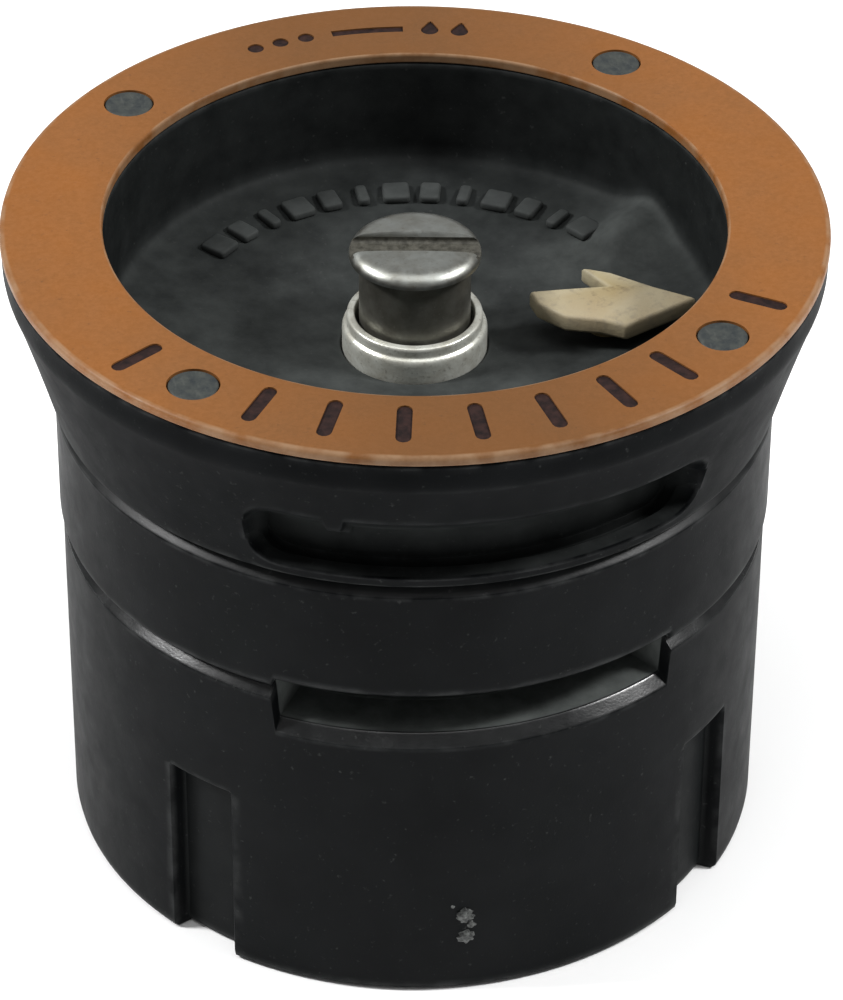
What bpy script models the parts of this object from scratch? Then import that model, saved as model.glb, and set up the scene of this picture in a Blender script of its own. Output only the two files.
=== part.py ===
"""Spray nozzle of a pop-up sprinkler: threaded base, nozzle body, deflector cap and radius screw.

Metres, +Z up. The origin is the centre of the skirt's lower rim. The spray arc faces -Y.
Every bearing is in degrees from -Y, positive towards +X.
"""

import math

import bmesh
import bpy

MM = 0.001

# Driving dimensions
HEIGHT = 19.7 * MM
RING_R = 11.5 * MM
BOWL_R = 8.66 * MM
CAP_FOOT_R = 10.26 * MM
BODY_R = 10.18 * MM
BASE_R = 10.1 * MM
UPPER_JOINT = 14.5 * MM
LOWER_JOINT = 10.4 * MM
FIT_GAP = 0.3 * MM
SHELL_SEGMENTS = 64
SMALL_SEGMENTS = 24
OVERCUT = 1.0 * MM

# Colour ring and its pins
RING_T = 0.3 * MM
RING_OUTER_BEVEL = 0.12 * MM
RING_INNER_BEVEL = 0.06 * MM
RING_BOTTOM = HEIGHT - RING_T
PIN_BEARINGS = (-45, 45, 135, -135)
PIN_CIRCLE_R = 10.08 * MM
PIN_HEAD_R = 0.69 * MM
PIN_SHANK_R = 0.45 * MM
PIN_END = 17.0 * MM

# Deflector cap
FLANGE_TOP = RING_BOTTOM - FIT_GAP
FLANGE_FOOT = 18.65 * MM
FLARE_POWER = 0.9
FLARE_STEPS = 8
CAP_FOOT = UPPER_JOINT + FIT_GAP / 2
HUB_R = 3.2 * MM
HUB_FOOT = 11.0 * MM
FLOOR_INNER = 15.45 * MM
FLOOR_OUTER = 16.05 * MM
FLOOR_EDGE_R = 7.9 * MM
BOWL_FILLET = 0.5 * MM

# Spray window in the flare
WINDOW_ARC = (-34.5, 37.0)
WINDOW_FLOOR = 14.9 * MM
WINDOW_WALL_R = 9.35 * MM
WINDOW_LIP = 17.15 * MM
WINDOW_END_ROUND = 4.5
TOOTH_BEARING = -21.0
TOOTH_HALF_WIDTH = 1.4
TOOTH_DROP = 0.5 * MM
ORIFICE_WIDTH = 0.4 * MM

# Nozzle body
BODY_TOP = UPPER_JOINT - FIT_GAP / 2
BODY_FOOT = LOWER_JOINT + FIT_GAP / 2
BODY_BEVEL = 0.38 * MM
BODY_FOOT_BEVEL = 0.1 * MM
CHAMBER_R = 8.4 * MM
CHAMBER_ROOF = 13.2 * MM
DUCT_FOOT = 11.6 * MM

# Threaded base
BASE_TOP = LOWER_JOINT - FIT_GAP / 2
BASE_BEVEL = 0.38 * MM
SPIGOT_R = CHAMBER_R - FIT_GAP
SPIGOT_WALL = 0.8 * MM
SPIGOT_TOP = 11.2 * MM
WEB_TOP = 9.4 * MM
SEAT_FACE = 7.8 * MM
SEAT_FACE_R = 7.6 * MM
RELIEF_DEPTH = 0.3 * MM
RIM_CHAMFER = 0.3 * MM
THREAD_MAJOR_R = 8.4 * MM
THREAD_MINOR_R = 7.95 * MM
THREAD_PITCH = 0.94 * MM
THREAD_START = 0.6 * MM
THREAD_END = 6.9 * MM
THREAD_ROWS_PER_TURN = 4

# Lower spray slot
SLOT_ARC = (-32.0, 35.0)
SLOT_FLOOR = 9.2 * MM
SLOT_ROOF = 10.66 * MM

# Grip grooves in the skirt
GROOVE_BEARINGS = (-46, 46, 134, -134)
GROOVE_HALF_WIDTH = 5.9
GROOVE_DEPTH = 0.5 * MM
GROOVE_TOP = 6.1 * MM

# Throttle seat
SEAT_PORT_R = 1.6 * MM
SEAT_BODY_R = 3.2 * MM
SEAT_FLANGE_R = 4.1 * MM
SEAT_FLANGE_T = 0.6 * MM

# Radius screw, its bush and its seal
SCREW_BEARING_OF_SLOT = 80.0
SCREW_HEAD_R = 1.86 * MM
SCREW_HEAD_TOP = 18.86 * MM
SCREW_HEAD_FOOT = 18.4 * MM
SCREW_NECK_R = 1.57 * MM
SCREW_GROOVE_R = 1.0 * MM
SCREW_GROOVE = (14.35 * MM, 15.25 * MM)
SCREW_THREAD_R = 1.27 * MM
SCREW_THREAD_DEPTH = 0.24 * MM
SCREW_THREAD = (10.6 * MM, 14.0 * MM)
SCREW_PITCH = 0.8 * MM
SCREW_TIP_R = 0.35 * MM
SCREW_TIP = 9.6 * MM
SLOT_WIDTH = 0.8 * MM
SLOT_DEPTH = 0.3 * MM
BUSH_R = 2.05 * MM
BUSH_TOP = 16.5 * MM
BUSH_BORE_R = 1.75 * MM
BUSH_THREAD_BORE_R = 1.6 * MM
BUSH_THREAD_TOP = 12.4 * MM
SEAL_RING_R = 1.37 * MM
SEAL_CORD_R = 0.31 * MM

# Pointer in the bowl: an arrow that points outwards along its own +X
POINTER_TAIL_X = 3.25 * MM
POINTER_TIP_X = 7.9 * MM
POINTER_BARB_X = 4.75 * MM
POINTER_NOTCH_X = 5.45 * MM
POINTER_HEAD_HALF = 1.55 * MM
POINTER_SHAFT_HALF = 0.45 * MM
POINTER_BEARING = 83.0
POINTER_TOP = 16.9 * MM


def start_empty():
    """Remove every object of the open scene."""
    for old in list(bpy.data.objects):
        bpy.data.objects.remove(old, do_unlink=True)


def material(name, colour, roughness, metallic=0.0):
    """Plain Principled material."""
    made = bpy.data.materials.new(name)
    made.use_nodes = True
    shader = made.node_tree.nodes["Principled BSDF"]
    shader.inputs["Base Color"].default_value = (*colour, 1.0)
    shader.inputs["Roughness"].default_value = roughness
    shader.inputs["Metallic"].default_value = metallic
    return made


def on_bearing(radius, bearing, height):
    """Point at a radius and a bearing from -Y."""
    angle = math.radians(bearing)
    return (radius * math.sin(angle), -radius * math.cos(angle), height)


def add_object(name, mesh_data, surface=None, sharp_angle=30.0):
    """Turn a bmesh into a linked object with consistent normals."""
    bmesh.ops.remove_doubles(mesh_data, verts=mesh_data.verts, dist=1e-7)
    bmesh.ops.recalc_face_normals(mesh_data, faces=mesh_data.faces)
    mesh = bpy.data.meshes.new(name)
    mesh_data.to_mesh(mesh)
    mesh_data.free()
    mesh.shade_smooth()
    mesh.set_sharp_from_angle(angle=math.radians(sharp_angle))
    made = bpy.data.objects.new(name, mesh)
    bpy.context.collection.objects.link(made)
    if surface:
        mesh.materials.append(surface)
    return made


def join_rings(bm, rings, wrap_round, wrap_rows):
    """Skin a grid of vertex rows with quads."""
    row_pairs = list(zip(rings, rings[1:]))
    if wrap_rows:
        row_pairs.append((rings[-1], rings[0]))
    for low, high in row_pairs:
        count = len(low)
        for i in range(count if wrap_round else count - 1):
            j = (i + 1) % count
            bm.faces.new((low[i], low[j], high[j], high[i]))


def turned(bm, outline, segments, closed=True, pitch=None):
    """Turn an outline of (radius, height[, thread depth]) points round Z.

    A closed outline makes a ring. An open one starts and ends near the axis and gets two caps.
    """
    rings = []
    for point in outline:
        radius, height = point[:2]
        depth = point[2] if len(point) > 2 else 0.0
        ring = []
        for i in range(segments):
            angle = 2 * math.pi * i / segments
            phase = 2 * math.pi * height / pitch - angle if pitch else 0.0
            reach = radius + depth / 2 * math.cos(phase)
            ring.append(bm.verts.new((reach * math.cos(angle), reach * math.sin(angle), height)))
        rings.append(ring)
    join_rings(bm, rings, True, closed)
    if not closed:
        bm.faces.new(rings[0])
        bm.faces.new(rings[-1])


def swept_arc(bm, stations):
    """Skin closed outlines placed at bearings, each a (bearing, [(radius, height), ...]) pair."""
    rows = []
    for bearing, outline in stations:
        rows.append([bm.verts.new(on_bearing(r, bearing, z)) for r, z in outline])
    join_rings(bm, rows, True, False)
    bm.faces.new(rows[0])
    bm.faces.new(rows[-1])


def arc_steps(start, end, step=4.0):
    """Bearings from start to end, about one step apart."""
    count = max(1, round((end - start) / step))
    return [start + (end - start) * i / count for i in range(count + 1)]


def box_outline(inner, outer, low, high):
    """Rectangle in the (radius, height) plane."""
    return [(inner, low), (outer, low), (outer, high), (inner, high)]


def cut(target, tool):
    """Subtract a hidden tool from a part."""
    tool.hide_render = True
    tool.display_type = "WIRE"
    modifier = target.modifiers.new(tool.name, "BOOLEAN")
    modifier.operation = "DIFFERENCE"
    modifier.solver = "EXACT"
    modifier.object = tool


def thread_rows(mean_radius, depth, start, end, pitch):
    """Outline points whose radius waves along a helix, fading in and out at the ends."""
    count = round((end - start) / pitch * THREAD_ROWS_PER_TURN)
    rows = []
    for i in range(count + 1):
        fade = min(1.0, i / THREAD_ROWS_PER_TURN, (count - i) / THREAD_ROWS_PER_TURN)
        rows.append((mean_radius, start + (end - start) * i / count, depth * fade))
    return rows


def floor_height(radius):
    """Height of the dished bowl floor at a radius."""
    share = (radius - BUSH_R) / (FLOOR_EDGE_R - BUSH_R)
    return FLOOR_INNER + (FLOOR_OUTER - FLOOR_INNER) * share


def flare_points():
    """Outer flare from the flange down to the cap's foot."""
    points = []
    for i in range(FLARE_STEPS + 1):
        rise = 1 - i / FLARE_STEPS
        spread = 1 - (1 - rise) ** FLARE_POWER
        radius = CAP_FOOT_R + (RING_R - CAP_FOOT_R) * spread
        points.append((radius, CAP_FOOT + (FLANGE_FOOT - CAP_FOOT) * rise))
    return points


def fillet_points(centre_r, centre_z, radius, steps=3):
    """Quarter round from the bowl floor up into its wall."""
    points = []
    for i in range(steps + 1):
        angle = math.pi / 2 * i / steps
        points.append((centre_r + radius * math.sin(angle), centre_z - radius * math.cos(angle)))
    return points


def make_threaded_base(surface):
    """Skirt with a female riser thread, grip grooves and the lower half of the spray slot."""
    outline = [
        (BASE_R - RIM_CHAMFER, 0.0),
        (BASE_R, RIM_CHAMFER),
        (BASE_R, BASE_TOP - BASE_BEVEL),
        (BASE_R - BASE_BEVEL, BASE_TOP),
        (SPIGOT_R, BASE_TOP),
        (SPIGOT_R, SPIGOT_TOP),
        (SPIGOT_R - SPIGOT_WALL, SPIGOT_TOP),
        (SPIGOT_R - SPIGOT_WALL, WEB_TOP),
        (SEAT_BODY_R + FIT_GAP, WEB_TOP),
        (SEAT_BODY_R + FIT_GAP, 0.0),
    ]
    bm = bmesh.new()
    turned(bm, outline, SHELL_SEGMENTS)
    base = add_object("threaded_base", bm, surface)
    cut(base, make_thread_tap())
    cut(base, make_groove_cutter())
    cut(base, make_slot_cutter("base_slot_cutter"))
    return base


def make_thread_tap():
    """Solid of the socket: mouth chamfer, riser thread, relief and seat face."""
    mean = (THREAD_MAJOR_R + THREAD_MINOR_R) / 2
    depth = THREAD_MAJOR_R - THREAD_MINOR_R
    mouth = THREAD_MAJOR_R + RIM_CHAMFER + OVERCUT
    core = SEAT_BODY_R
    outline = [(core, -OVERCUT), (mouth, -OVERCUT), (THREAD_MAJOR_R, RIM_CHAMFER)]
    outline += thread_rows(mean, depth, THREAD_START, THREAD_END, THREAD_PITCH)
    outline += [
        (THREAD_MAJOR_R, THREAD_END + RIM_CHAMFER),
        (THREAD_MAJOR_R, SEAT_FACE + RELIEF_DEPTH),
        (SEAT_FACE_R, SEAT_FACE + RELIEF_DEPTH),
        (SEAT_FACE_R, SEAT_FACE),
        (core, SEAT_FACE),
    ]
    bm = bmesh.new()
    turned(bm, outline, SHELL_SEGMENTS, closed=False, pitch=THREAD_PITCH)
    return add_object("thread_tap", bm)


def make_groove_cutter():
    """Four square-topped grooves that run out of the skirt's rim."""
    outline = box_outline(BASE_R - GROOVE_DEPTH, BASE_R + OVERCUT, -OVERCUT, GROOVE_TOP)
    bm = bmesh.new()
    for bearing in GROOVE_BEARINGS:
        bearings = arc_steps(bearing - GROOVE_HALF_WIDTH, bearing + GROOVE_HALF_WIDTH)
        swept_arc(bm, [(angle, outline) for angle in bearings])
    return add_object("groove_cutter", bm)


def make_slot_cutter(name):
    """Arc slit at the lower joint, through the spigot to the water chamber."""
    inner = SPIGOT_R - SPIGOT_WALL - FIT_GAP
    outline = box_outline(inner, BODY_R + OVERCUT, SLOT_FLOOR, SLOT_ROOF)
    bm = bmesh.new()
    swept_arc(bm, [(angle, outline) for angle in arc_steps(*SLOT_ARC)])
    return add_object(name, bm)


def make_throttle_seat(surface):
    """Flanged inlet ring whose port the screw's tip closes."""
    outline = [
        (SEAT_PORT_R, SEAT_FACE + RELIEF_DEPTH),
        (SEAT_BODY_R, SEAT_FACE + RELIEF_DEPTH),
        (SEAT_BODY_R, WEB_TOP + FIT_GAP),
        (SEAT_FLANGE_R, WEB_TOP + FIT_GAP),
        (SEAT_FLANGE_R, WEB_TOP + FIT_GAP + SEAT_FLANGE_T),
        (SEAT_PORT_R + SEAT_FLANGE_T, WEB_TOP + FIT_GAP + SEAT_FLANGE_T),
        (SEAT_PORT_R, WEB_TOP + FIT_GAP),
    ]
    bm = bmesh.new()
    turned(bm, outline, SMALL_SEGMENTS)
    return add_object("throttle_seat", bm, surface)


def make_nozzle_body(surface):
    """Middle ring: water chamber roof with the arc duct to the spray window."""
    outline = [
        (BODY_R - BODY_FOOT_BEVEL, BODY_FOOT),
        (BODY_R, BODY_FOOT + BODY_FOOT_BEVEL),
        (BODY_R, BODY_TOP - BODY_BEVEL),
        (BODY_R - BODY_BEVEL, BODY_TOP),
        (HUB_R + FIT_GAP, BODY_TOP),
        (HUB_R + FIT_GAP, CHAMBER_ROOF),
        (CHAMBER_R, CHAMBER_ROOF),
        (CHAMBER_R, BODY_FOOT),
    ]
    bm = bmesh.new()
    turned(bm, outline, SHELL_SEGMENTS)
    body = add_object("nozzle_body", bm, surface)
    cut(body, make_duct_cutter())
    cut(body, make_slot_cutter("body_slot_cutter"))
    return body


def make_duct_cutter():
    """Arc pocket beside the chamber, narrowing to a slit under the cap's orifice."""
    outer = WINDOW_WALL_R + ORIFICE_WIDTH
    inner = CHAMBER_R - FIT_GAP
    neck = CHAMBER_ROOF - FIT_GAP
    outline = [
        (inner, DUCT_FOOT),
        (outer, DUCT_FOOT),
        (outer, BODY_TOP + OVERCUT),
        (WINDOW_WALL_R, BODY_TOP + OVERCUT),
        (WINDOW_WALL_R, neck),
        (inner, neck),
    ]
    bm = bmesh.new()
    swept_arc(bm, [(angle, outline) for angle in arc_steps(*SLOT_ARC)])
    return add_object("duct_cutter", bm)


def make_deflector_cap(surface):
    """Flared cap with the bowl, the screw hub, the spray window and the pin holes."""
    bore = BUSH_R + FIT_GAP
    outline = [(bore, HUB_FOOT), (bore, floor_height(bore)), (FLOOR_EDGE_R, FLOOR_OUTER)]
    outline += fillet_points(BOWL_R - BOWL_FILLET, FLOOR_OUTER + BOWL_FILLET, BOWL_FILLET)[1:]
    outline += [(BOWL_R, FLANGE_TOP), (RING_R, FLANGE_TOP)]
    outline += flare_points()
    outline += [(HUB_R, CAP_FOOT), (HUB_R, HUB_FOOT)]
    bm = bmesh.new()
    turned(bm, outline, SHELL_SEGMENTS)
    cap = add_object("deflector_cap", bm, surface)
    cut(cap, make_window_cutter())
    cut(cap, make_orifice_cutter())
    cut(cap, make_pin_cutter("cap_pin_cutter", PIN_SHANK_R + FIT_GAP, PIN_END - FIT_GAP, HEIGHT))
    return cap


def window_outline(open_share, tooth):
    """Section of the spray window: flat floor, short wall and slanted deflector face."""
    reach = RING_R + OVERCUT
    lip = WINDOW_LIP - (TOOTH_DROP if tooth else 0.0)
    middle = (WINDOW_FLOOR + lip) / 2
    half = (lip - WINDOW_FLOOR) / 2 * open_share
    low = middle - half
    high = middle + half
    wall_top = low + (high - low) * 0.4
    return [(WINDOW_WALL_R, low), (reach, low), (reach, high), (RING_R, high), (WINDOW_WALL_R, wall_top)]


def make_window_cutter():
    """Spray window with rounded ends and one tooth on its upper lip."""
    start, end = WINDOW_ARC
    tooth_start = TOOTH_BEARING - TOOTH_HALF_WIDTH
    tooth_end = TOOTH_BEARING + TOOTH_HALF_WIDTH
    side = 0.2
    bearings = [start + WINDOW_END_ROUND * share for share in (0.0, 0.1, 0.35, 1.0)]
    bearings += arc_steps(start + WINDOW_END_ROUND * 2, tooth_start - side)
    bearings += [tooth_start, tooth_end]
    bearings += arc_steps(tooth_end + side, end - WINDOW_END_ROUND * 2)
    bearings += [end - WINDOW_END_ROUND * share for share in (1.0, 0.35, 0.1, 0.0)]
    stations = []
    for bearing in bearings:
        inset = min(bearing - start, end - bearing, WINDOW_END_ROUND) / WINDOW_END_ROUND
        open_share = 0.35 + 0.65 * math.sqrt(1 - (1 - inset) ** 2)
        tooth = tooth_start <= bearing <= tooth_end
        stations.append((bearing, window_outline(open_share, tooth)))
    bm = bmesh.new()
    swept_arc(bm, stations)
    return add_object("window_cutter", bm)


def make_orifice_cutter():
    """Arc slit in the window's floor, where the water jet rises."""
    low = CAP_FOOT - OVERCUT / 2
    high = WINDOW_FLOOR + FIT_GAP
    inner = WINDOW_WALL_R + 0.05 * MM
    outline = box_outline(inner, WINDOW_WALL_R + ORIFICE_WIDTH, low, high)
    bm = bmesh.new()
    swept_arc(bm, [(angle, outline) for angle in arc_steps(*SLOT_ARC)])
    return add_object("orifice_cutter", bm)


def make_pin_cutter(name, radius, low, high):
    """Four round holes on the pin circle."""
    bm = bmesh.new()
    for bearing in PIN_BEARINGS:
        x, y, _ = on_bearing(PIN_CIRCLE_R, bearing, 0.0)
        before = set(bm.verts)
        turned(bm, [(radius, low), (radius, high + OVERCUT)], SMALL_SEGMENTS // 2, closed=False)
        bmesh.ops.translate(bm, verts=[v for v in bm.verts if v not in before], vec=(x, y, 0.0))
    return add_object(name, bm)


def make_colour_ring(surface):
    """Bevelled washer on top of the flange."""
    outline = [
        (BOWL_R, RING_BOTTOM),
        (BOWL_R, HEIGHT - RING_INNER_BEVEL),
        (BOWL_R + RING_INNER_BEVEL, HEIGHT),
        (RING_R - RING_OUTER_BEVEL, HEIGHT),
        (RING_R, HEIGHT - RING_OUTER_BEVEL),
        (RING_R, RING_BOTTOM),
    ]
    bm = bmesh.new()
    turned(bm, outline, SHELL_SEGMENTS)
    ring = add_object("colour_ring", bm, surface)
    cut(ring, make_pin_cutter("ring_pin_cutter", PIN_HEAD_R + FIT_GAP / 2, FLANGE_TOP, HEIGHT))
    return ring


def make_ring_pins(surface):
    """Four flush pins, each at its own place on the pin circle."""
    outline = [
        (PIN_SHANK_R, PIN_END),
        (PIN_SHANK_R, RING_BOTTOM),
        (PIN_HEAD_R, RING_BOTTOM),
        (PIN_HEAD_R, HEIGHT),
    ]
    for number, bearing in enumerate(PIN_BEARINGS, start=1):
        bm = bmesh.new()
        turned(bm, outline, SMALL_SEGMENTS // 2, closed=False)
        pin = add_object(f"ring_pin_{number}", bm, surface)
        pin.location = on_bearing(PIN_CIRCLE_R, bearing, 0.0)


def make_screw_bush(surface):
    """Flanged metal bush in the cap's hub, bored for the screw's neck and its thread."""
    rim = 0.12 * MM
    step = 0.35 * MM
    outline = [
        (BUSH_R, HUB_FOOT),
        (BUSH_R, BUSH_TOP - step),
        (BUSH_R - rim, BUSH_TOP - step + rim),
        (BUSH_R - rim, BUSH_TOP - rim / 2),
        (BUSH_R - rim * 1.5, BUSH_TOP),
        (BUSH_BORE_R, BUSH_TOP),
        (BUSH_BORE_R, BUSH_THREAD_TOP),
        (BUSH_THREAD_BORE_R, BUSH_THREAD_TOP - rim),
        (BUSH_THREAD_BORE_R, HUB_FOOT),
    ]
    bm = bmesh.new()
    turned(bm, outline, SMALL_SEGMENTS)
    return add_object("screw_bush", bm, surface)


def make_adjusting_screw(surface):
    """Slotted radius screw: domed head, neck, seal groove, thread and throttle tip."""
    outline = [(SCREW_TIP_R, SCREW_TIP)]
    thread_foot, thread_top = SCREW_THREAD
    outline += thread_rows(SCREW_THREAD_R, SCREW_THREAD_DEPTH, thread_foot, thread_top, SCREW_PITCH)
    groove_foot, groove_top = SCREW_GROOVE
    land = 0.2 * MM
    outline += [
        (SCREW_NECK_R, groove_foot - land),
        (SCREW_NECK_R, groove_foot),
        (SCREW_GROOVE_R, groove_foot),
        (SCREW_GROOVE_R, groove_top),
        (SCREW_NECK_R, groove_top),
        (SCREW_NECK_R, SCREW_HEAD_FOOT),
        (SCREW_HEAD_R - 0.1 * MM, SCREW_HEAD_FOOT),
        (SCREW_HEAD_R, SCREW_HEAD_FOOT + 0.1 * MM),
        (SCREW_HEAD_R, SCREW_HEAD_TOP - 0.3 * MM),
        (SCREW_HEAD_R - 0.16 * MM, SCREW_HEAD_TOP - 0.14 * MM),
        (SCREW_HEAD_R - 0.6 * MM, SCREW_HEAD_TOP - 0.04 * MM),
        (SCREW_TIP_R, SCREW_HEAD_TOP),
    ]
    bm = bmesh.new()
    turned(bm, outline, SMALL_SEGMENTS, closed=False, pitch=SCREW_PITCH)
    screw = add_object("adjusting_screw", bm, surface)
    cut(screw, make_driver_slot_cutter())
    return screw


def make_driver_slot_cutter():
    """Straight screwdriver slot across the head."""
    bm = bmesh.new()
    bmesh.ops.create_cube(bm, size=1.0)
    size = (4 * SCREW_HEAD_R, SLOT_WIDTH, 2 * SLOT_DEPTH)
    bmesh.ops.scale(bm, verts=bm.verts, vec=size)
    cutter = add_object("driver_slot_cutter", bm)
    cutter.location = (0.0, 0.0, SCREW_HEAD_TOP)
    cutter.rotation_euler = (0.0, 0.0, math.radians(SCREW_BEARING_OF_SLOT - 90))
    return cutter


def make_screw_seal(surface):
    """O-ring in the screw's groove."""
    height = sum(SCREW_GROOVE) / 2
    steps = 10
    outline = []
    for i in range(steps):
        angle = 2 * math.pi * i / steps
        outline.append((SEAL_RING_R + SEAL_CORD_R * math.cos(angle), height - SEAL_CORD_R * math.sin(angle)))
    bm = bmesh.new()
    turned(bm, outline, SMALL_SEGMENTS)
    return add_object("screw_seal", bm, surface)


def pointer_outline():
    """Arrow in its own plane, shaft from the screw side and tip at the bowl's wall."""
    half = [
        (POINTER_TAIL_X, POINTER_SHAFT_HALF * 0.4),
        (POINTER_NOTCH_X, POINTER_SHAFT_HALF),
        (POINTER_BARB_X, POINTER_HEAD_HALF),
        (POINTER_TIP_X, POINTER_SHAFT_HALF * 0.4),
    ]
    mirrored = [(x, -y) for x, y in reversed(half)]
    return half + mirrored


def make_arc_pointer(surface):
    """Raised arrow on the bowl floor, flat on top, its underside following the dish."""
    turn = math.radians(POINTER_BEARING - 90)
    bm = bmesh.new()
    rows = [[], []]
    for x, y in pointer_outline():
        place_x = x * math.cos(turn) - y * math.sin(turn)
        place_y = x * math.sin(turn) + y * math.cos(turn)
        foot = floor_height(math.hypot(x, y)) + FIT_GAP
        rows[0].append(bm.verts.new((place_x, place_y, foot)))
        rows[1].append(bm.verts.new((place_x, place_y, POINTER_TOP)))
    join_rings(bm, rows, True, False)
    bm.faces.new(rows[0])
    bm.faces.new(rows[1])
    return add_object("arc_pointer", bm, surface)


def main():
    """Build every piece at its place."""
    start_empty()
    black_plastic = material("black_plastic", (0.012, 0.013, 0.014), 0.42)
    ring_plastic = material("ring_plastic", (0.36, 0.14, 0.05), 0.45)
    pin_plastic = material("pin_plastic", (0.07, 0.075, 0.08), 0.5)
    pointer_plastic = material("pointer_plastic", (0.55, 0.47, 0.32), 0.5)
    stainless = material("stainless", (0.6, 0.59, 0.56), 0.22, 1.0)
    seal_rubber = material("seal_rubber", (0.02, 0.02, 0.02), 0.8)
    seat_plastic = material("seat_plastic", (0.5, 0.5, 0.48), 0.5)

    make_threaded_base(black_plastic)
    make_throttle_seat(seat_plastic)
    make_nozzle_body(black_plastic)
    make_deflector_cap(black_plastic)
    make_colour_ring(ring_plastic)
    make_ring_pins(pin_plastic)
    make_arc_pointer(pointer_plastic)
    make_screw_bush(stainless)
    make_adjusting_screw(stainless)
    make_screw_seal(seal_rubber)


main()
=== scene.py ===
"""Looks of a pop-up sprinkler's spray nozzle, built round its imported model.

Metres, +Z up, spray arc facing -Y. Bearings are degrees from -Y, positive towards +X.
"""
import math

import bmesh
import bpy
import numpy as np
from mathutils import Matrix, Vector, noise


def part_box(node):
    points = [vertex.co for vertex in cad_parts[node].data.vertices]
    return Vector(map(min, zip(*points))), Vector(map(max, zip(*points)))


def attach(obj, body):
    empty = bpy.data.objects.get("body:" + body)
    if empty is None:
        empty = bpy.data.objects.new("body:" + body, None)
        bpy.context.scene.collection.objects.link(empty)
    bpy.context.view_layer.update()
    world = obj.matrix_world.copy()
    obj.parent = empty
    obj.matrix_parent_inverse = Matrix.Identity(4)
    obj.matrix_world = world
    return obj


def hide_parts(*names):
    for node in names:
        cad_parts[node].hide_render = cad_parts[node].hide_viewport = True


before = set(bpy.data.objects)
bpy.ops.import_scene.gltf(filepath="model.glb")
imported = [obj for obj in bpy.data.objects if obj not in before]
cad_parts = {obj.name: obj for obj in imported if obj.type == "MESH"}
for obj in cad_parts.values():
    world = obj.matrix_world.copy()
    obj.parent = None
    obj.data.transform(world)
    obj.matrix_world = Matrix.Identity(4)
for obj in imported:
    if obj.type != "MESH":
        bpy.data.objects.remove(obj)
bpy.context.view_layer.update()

MM = 0.001


def span(node):
    """Radius, foot and top of a CAD node that is round about Z."""
    low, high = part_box(node)
    return high.x, low.z, high.z


# Sizes read from the frame
RING_R, RING_FOOT, TOP = span("colour_ring")
_, HUB_FOOT, CAD_FLANGE_TOP = span("deflector_cap")
BODY_R, CAD_BODY_FOOT, CAD_BODY_TOP = span("nozzle_body")
BASE_R, RIM, SPIGOT_TOP = span("threaded_base")
BUSH_R, BUSH_FOOT, BUSH_TOP = span("screw_bush")
HEAD_R, SCREW_TIP, HEAD_TOP = span("adjusting_screw")
CAD_GAP = RING_FOOT - CAD_FLANGE_TOP
LOWER_JOINT = CAD_BODY_FOOT - CAD_GAP / 2
UPPER_JOINT = CAD_BODY_TOP + CAD_GAP / 2

# Seams and columns of the fine surface
SEAM = 0.1 * MM
HAIR = 0.03 * MM
COLUMN_STEP = 1.5
GUARD = 0.12 * MM
CHAMFER = 0.34 * MM

# Deflector cap
BOWL_R = 8.66 * MM
CAP_FOOT_R = 10.26 * MM
CAP_FOOT = UPPER_JOINT + SEAM / 2
HUB_R = 3.2 * MM
FLANGE_TOP = RING_FOOT - HAIR
FLANGE_R = RING_R - HAIR
FLANGE_FOOT = 18.65 * MM
FLARE_POWER = 0.9
FLOOR_INNER = 15.45 * MM
FLOOR_OUTER = 16.05 * MM
FLOOR_EDGE_R = 7.9 * MM
RAMP_BEARING = 117.0
RAMP_SPREAD = 7.0
RAMP_START_R = 5.9 * MM
RAMP_RUN = 1.8 * MM
RAMP_RISE = 0.7 * MM

# Spray window, orifice and tooth
WINDOW_ARC = (-34.5, 37.0)
WINDOW_FLOOR = 14.9 * MM
WINDOW_LIP = 17.15 * MM
WINDOW_WALL_R = 9.35 * MM
WINDOW_END_ROUND = 5.0
ORIFICE_WIDTH = 0.4 * MM
ORIFICE_DEPTH = 0.3 * MM
TOOTH_BEARING = -21.0
TOOTH_HALF_WIDTH = 1.3
TOOTH_DROP = 0.45 * MM

# Lower slot and grip grooves
SLOT_ARC = (-32.0, 35.0)
SLOT_FLOOR = 9.2 * MM
SLOT_ROOF = 10.68 * MM
GROOVE_BEARINGS = (-46.0, 46.0, 134.0, -134.0)
GROOVE_HALF_WIDTH = 5.9
GROOVE_DEPTH = 0.5 * MM
GROOVE_TOP = 6.1 * MM

# Socket
THREAD_PITCH = 0.94 * MM
THREAD_MAJOR_R = 8.4 * MM
THREAD_MINOR_R = 7.95 * MM
THREAD_SPAN = (0.6 * MM, 6.9 * MM)
THREAD_ROWS = 8
SEAT_FACE = 7.8 * MM
SEAT_FACE_R = 7.6 * MM
WEB_TOP = 9.4 * MM
WEB_BORE_R = 3.5 * MM
CHAMBER_R = 8.4 * MM
CHAMBER_ROOF = 13.2 * MM

# Ring print
TICK_BEARINGS = (-33.75, -22.5, -11.25, 0.0, 11.25, 22.5, 33.75)
LIMIT_BEARINGS = (-56.25, 56.25)
TICK_REACH = (0.795, 0.94)
LIMIT_REACH = (0.81, 0.955)
TICK_WIDTH = 0.42 * MM
PRINT_DEPTH = 0.1 * MM
PIN_HEAD_R = 0.69 * MM
PINS = ("ring_pin_1", "ring_pin_2", "ring_pin_3", "ring_pin_4")

# Screw and bush
NECK_R = 1.57 * MM
HEAD_FOOT = 18.4 * MM
SCREW_PITCH = 0.8 * MM
HEAD_CROWN = 0.06 * MM
DRIVE_HALF = 0.4 * MM
DRIVE_DEPTH = 0.32 * MM
DRIVE_TURN = math.radians(-10.0)
SCREW_THREAD = (10.6 * MM, 14.0 * MM)
SEAL_GROOVE = (14.35 * MM, 15.25 * MM)
SEAL_GROOVE_R = 1.0 * MM

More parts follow.
